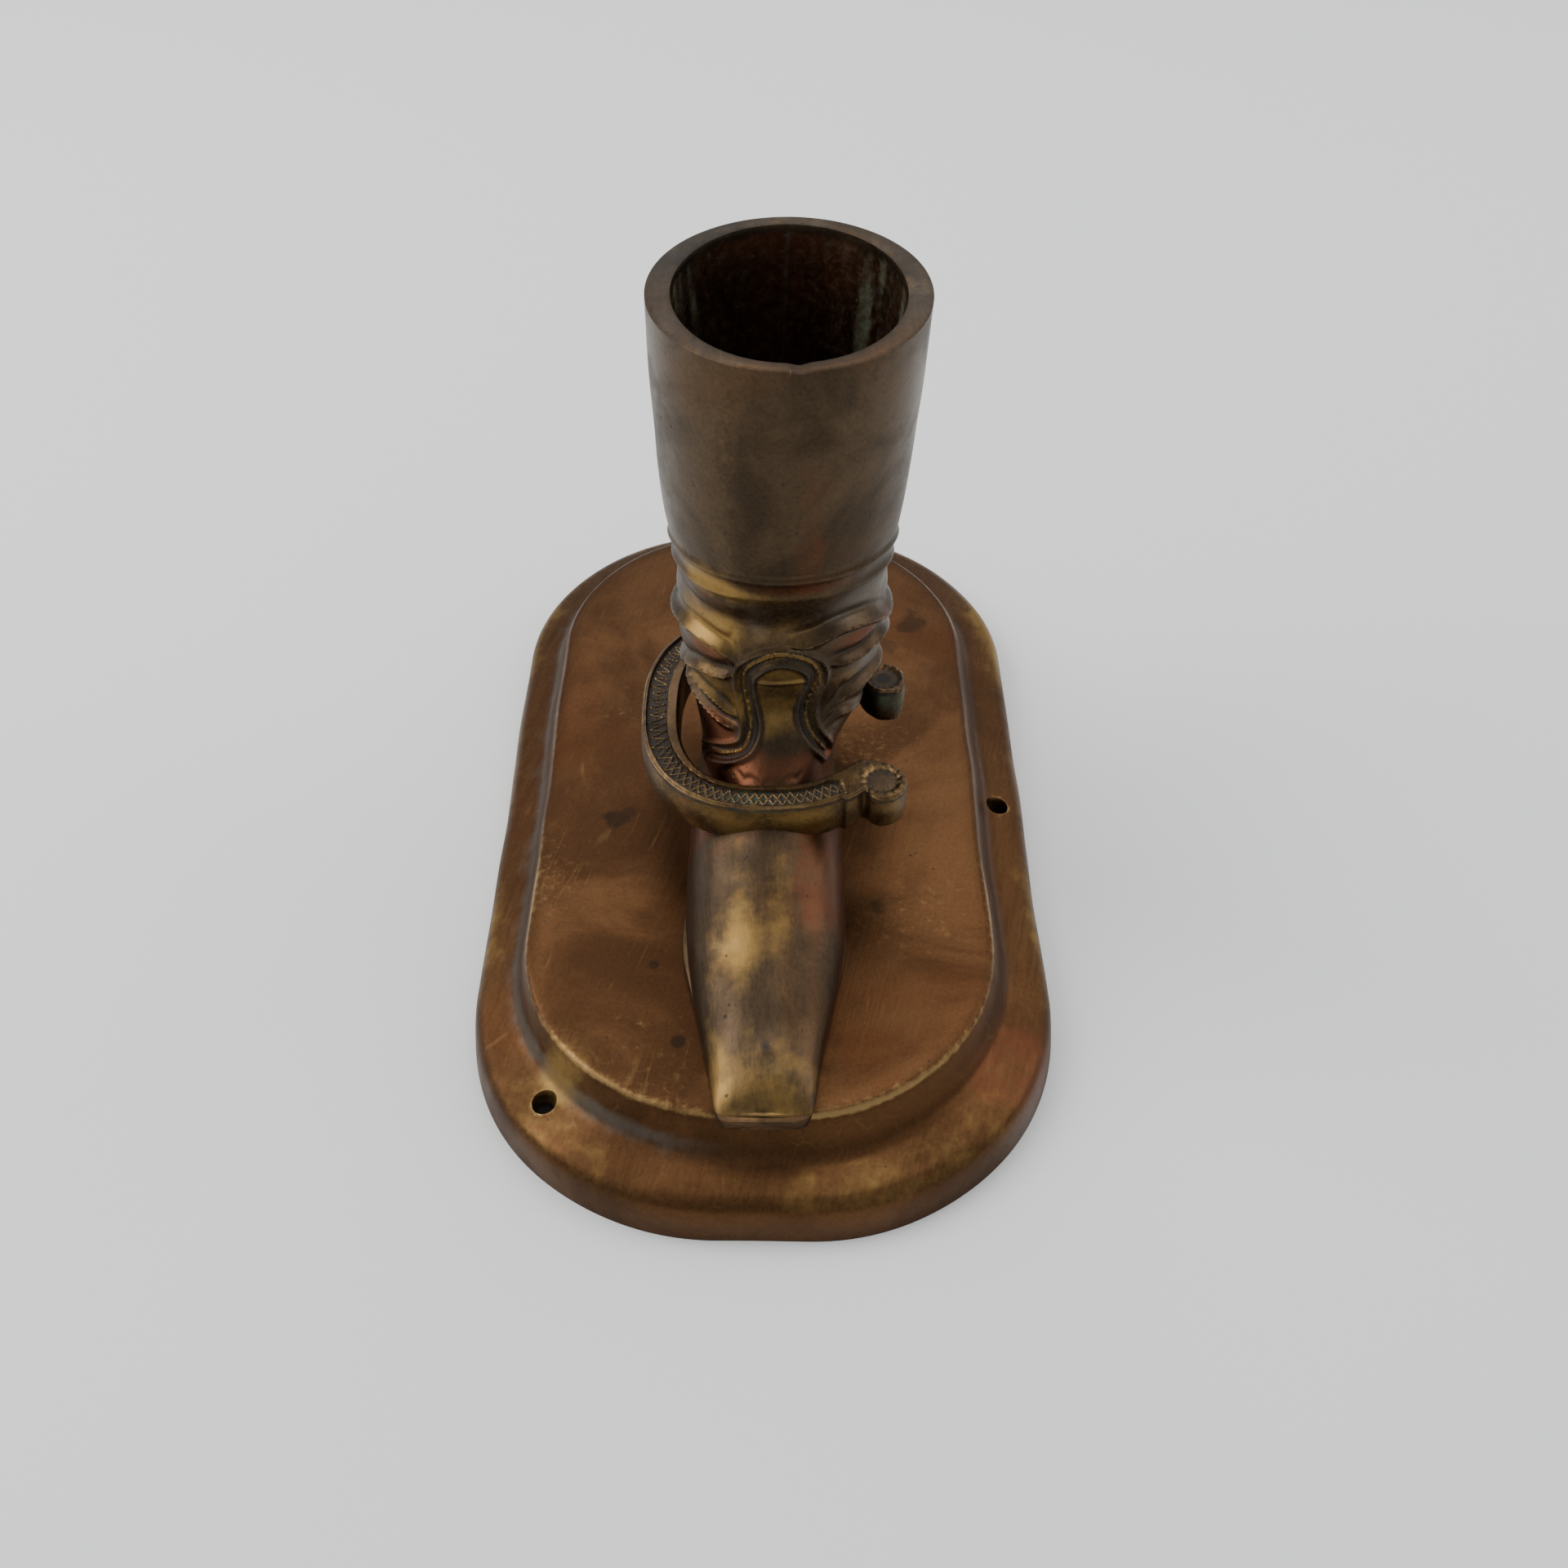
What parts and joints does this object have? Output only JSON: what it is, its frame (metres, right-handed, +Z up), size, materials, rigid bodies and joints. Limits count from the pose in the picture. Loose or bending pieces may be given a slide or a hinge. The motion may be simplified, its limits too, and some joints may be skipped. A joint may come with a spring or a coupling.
{
  "type": "boot holder on a screw-down base",
  "caption": "Cast brass riding boot with an open shaft as a holder, a horseshoe round its ankle, on a hollow stepped oblong base with screw holes.",
  "frame": {"origin": "centre of the base's rim on the surface it stands on", "axes": "+Z up, +Y along the base towards the boot's heel, +X towards the horseshoe's open side; the toe points to -Y"},
  "size_m": [0.1, 0.173, 0.112],
  "materials": {
    "base_brass": "aged warm brown patina with rubbed edges",
    "boot_brass": "dark aged patina, brushed and worn bright on the foot",
    "sole_brass": "aged patina",
    "horseshoe_brass": "aged patina with dark chased fuller and verdigris at one tip",
    "fastener_brass": "dull turned brass"
  },
  "bodies": {
    "root": {"base_plate": "base_brass", "boot_left_half": "boot_brass", "boot_right_half": "boot_brass", "boot_sole": "sole_brass", "boot_heel": "sole_brass", "horseshoe": "horseshoe_brass", "horseshoe_front_pin": "fastener_brass", "horseshoe_rear_pin": "fastener_brass", "heel_stud": "fastener_brass", "heel_washer": "fastener_brass", "heel_nut": "fastener_brass", "toe_rivet": "fastener_brass", "toe_rivet_washer": "fastener_brass"}
  },
  "joints": []
}
